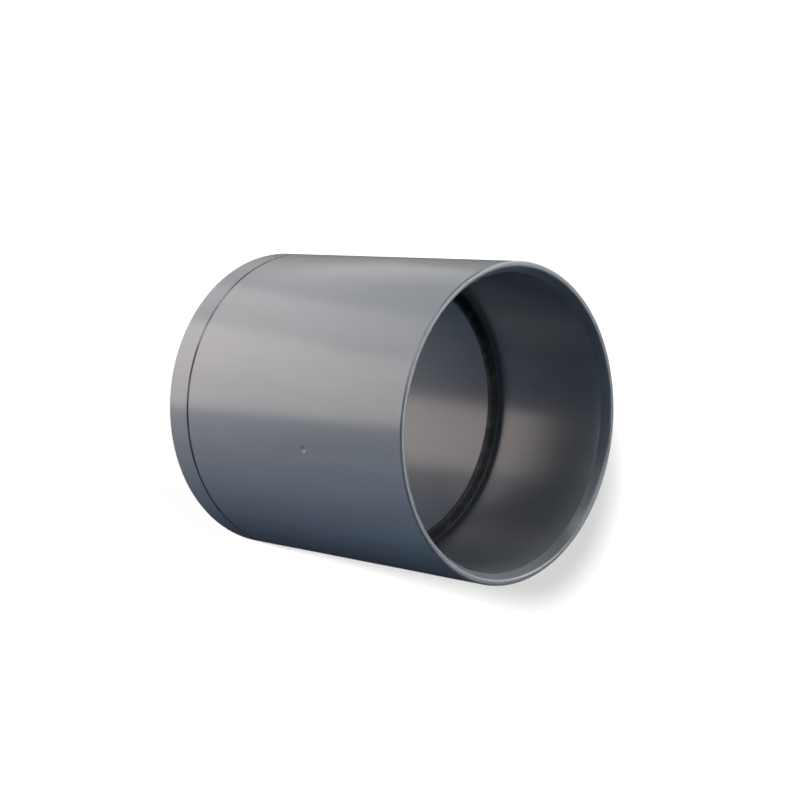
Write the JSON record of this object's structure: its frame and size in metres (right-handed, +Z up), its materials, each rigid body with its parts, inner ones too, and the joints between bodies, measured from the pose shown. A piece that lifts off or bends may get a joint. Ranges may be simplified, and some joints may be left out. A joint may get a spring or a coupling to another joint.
{
  "type": "pvc solvent weld coupling",
  "caption": "Straight grey PVC duct coupling: a thin-walled sleeve with a plain solvent weld socket at each end, a stop ring between them and bevelled mouths.",
  "frame": {"origin": "centre of the lower end face, the one nearer the witness groove, which the coupling stands on", "axes": "+Z up along the coupling's axis, out of the upper mouth. -Y is the side that faces the viewer, with the gate dimple a little to its +X side"},
  "size_m": [0.123, 0.123, 0.13],
  "materials": {
    "pvc": "semi-gloss grey rigid PVC, as moulded"
  },
  "bodies": {
    "root": {"coupling": "pvc"}
  },
  "joints": []
}
